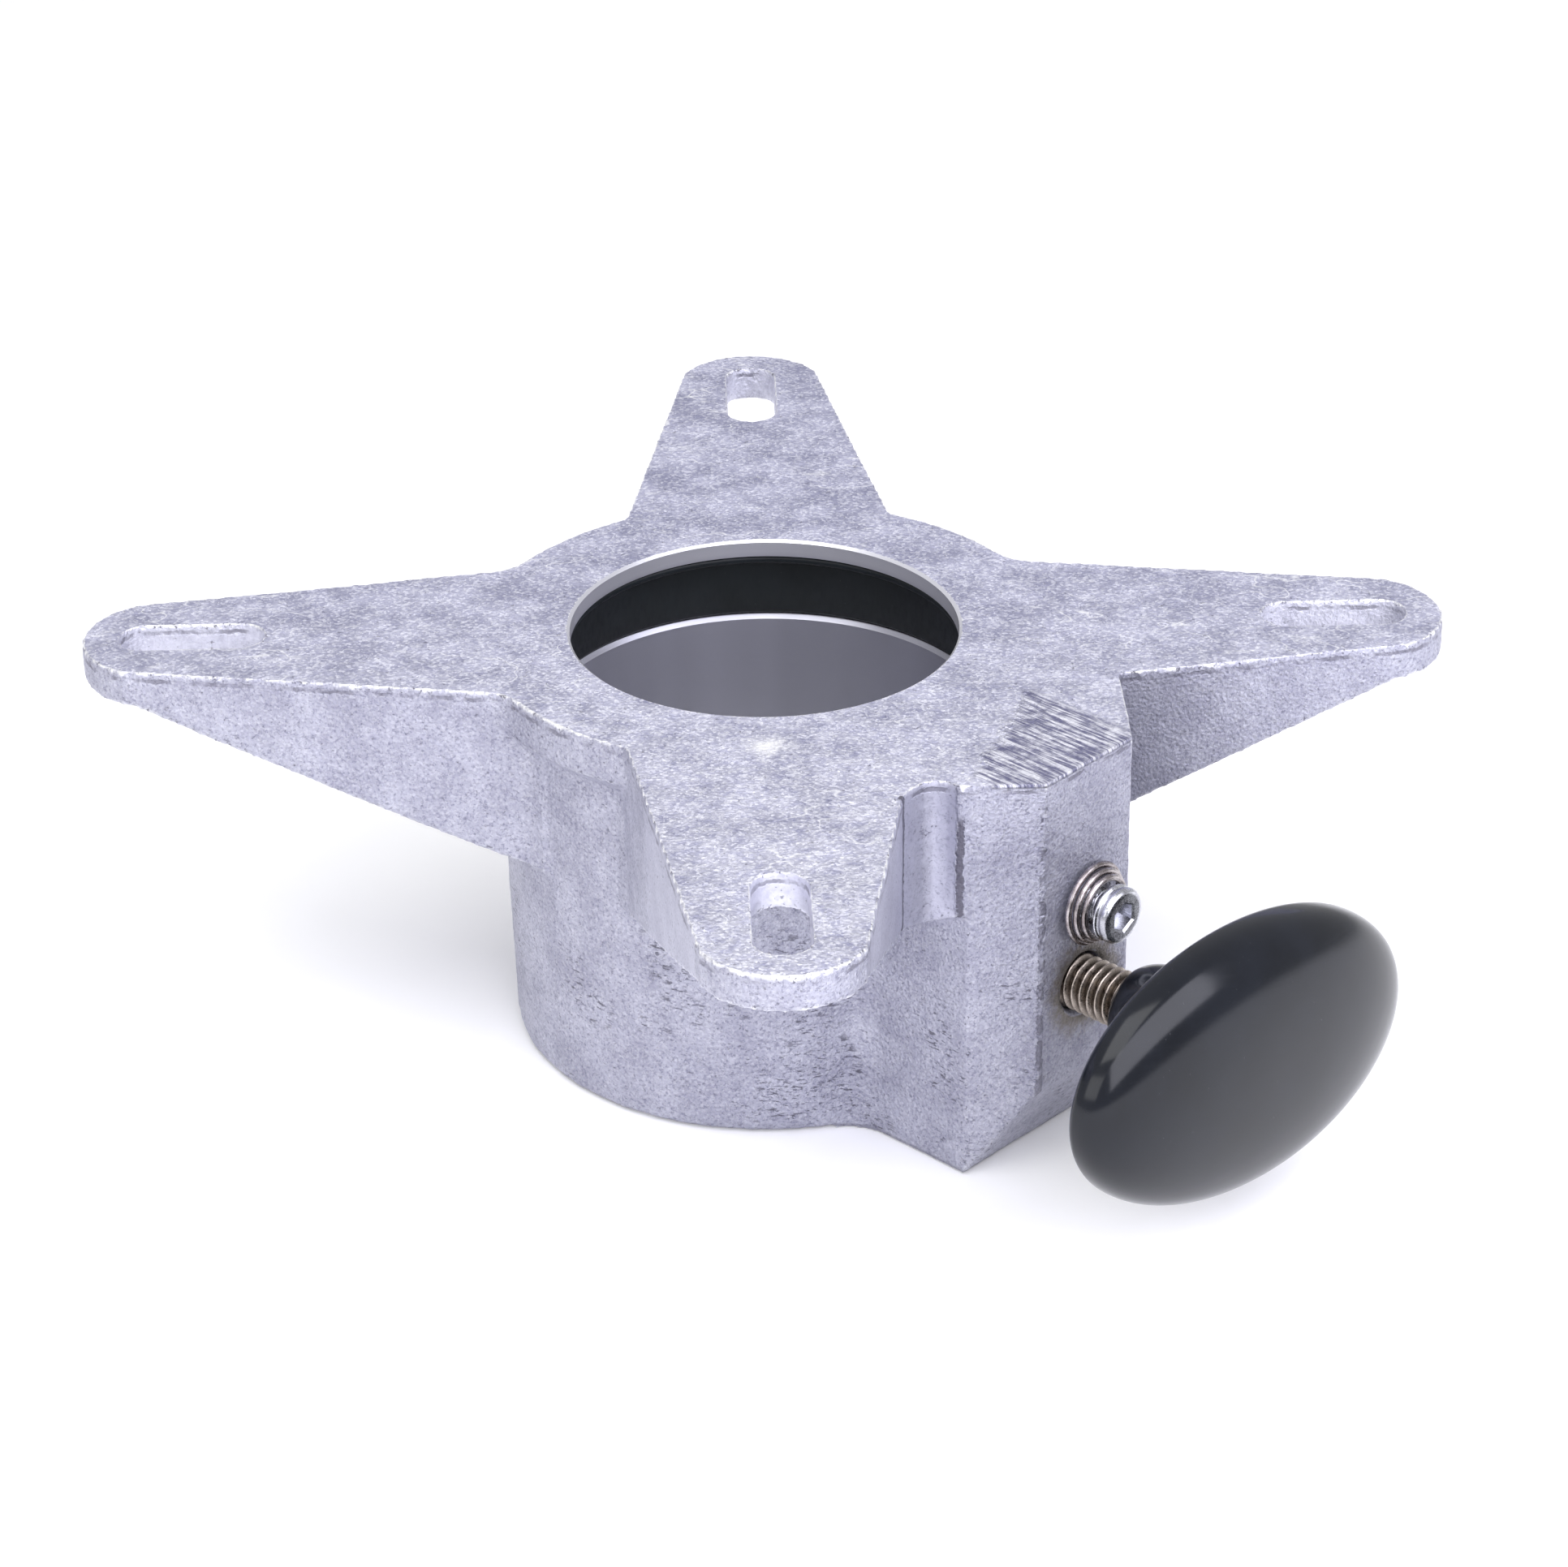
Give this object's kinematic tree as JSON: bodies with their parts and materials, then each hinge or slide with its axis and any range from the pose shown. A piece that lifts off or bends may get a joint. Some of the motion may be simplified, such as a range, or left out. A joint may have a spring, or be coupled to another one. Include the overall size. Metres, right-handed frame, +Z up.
{
  "type": "stanchion post seat base",
  "caption": "Cast aluminium cross-shaped seat base with slotted channel arms and a post socket, clamped by an oval knob on a threaded stud beside a sprung screw.",
  "frame": {"origin": "on the post's axis, in the plane of the drum's bottom face", "axes": "+Z up along the post's axis; the four arms lie along X and Y; the clamp stud points out along the diagonal between +X and -Y"},
  "size_m": [0.222, 0.222, 0.071],
  "materials": {
    "cast_aluminium": "as cast and tumbled, fine sparkling grain, with a machined lip and bore",
    "black_nylon": "smooth moulded black",
    "black_gloss": "glossy moulded black",
    "stained_steel": "rolled thread, brown stain in the roots",
    "bright_steel": "bright stainless",
    "spring_steel": "drawn stainless wire",
    "natural_nylon": "natural moulded nylon"
  },
  "bodies": {
    "casting": {"spider_casting": "cast_aluminium", "upper_bushing": "black_nylon", "tension_spring": "spring_steel"},
    "clamp_pad": {"clamp_pad": "natural_nylon"},
    "knob": {"clamp_knob": "black_gloss", "knob_stud": "stained_steel"},
    "tension_pad": {"tension_pad": "natural_nylon"},
    "tension_screw": {"tension_screw": "bright_steel"}
  },
  "joints": [
    {"name": "clamp_travel", "type": "slide", "parent": "casting", "child": "clamp_pad", "axis": [0.7071, -0.7071, 0], "range_m": [-0.00794, 0.0127]},
    {"name": "clamp_turn", "type": "hinge", "parent": "clamp_pad", "child": "knob", "pos_m": [0.0495, -0.0495, 0.031], "axis": [0.7071, -0.7071, 0], "range_deg": [-1800, 2880]},
    {"name": "tension_travel", "type": "slide", "parent": "casting", "child": "tension_pad", "axis": [0.7071, -0.7071, 0], "range_m": [-0.00254, 0.00381], "deforming": ["tension_spring"]},
    {"name": "tension_turn", "type": "hinge", "parent": "tension_pad", "child": "tension_screw", "pos_m": [0.0495, -0.0495, 0.046], "axis": [0.7071, -0.7071, 0], "range_deg": [-720, 1080]}
  ],
  "couplings": [
    {"joint": "clamp_turn", "follows": "clamp_travel", "rad_per_m": 3957.9},
    {"joint": "tension_turn", "follows": "tension_travel", "rad_per_m": 4947.4}
  ]
}
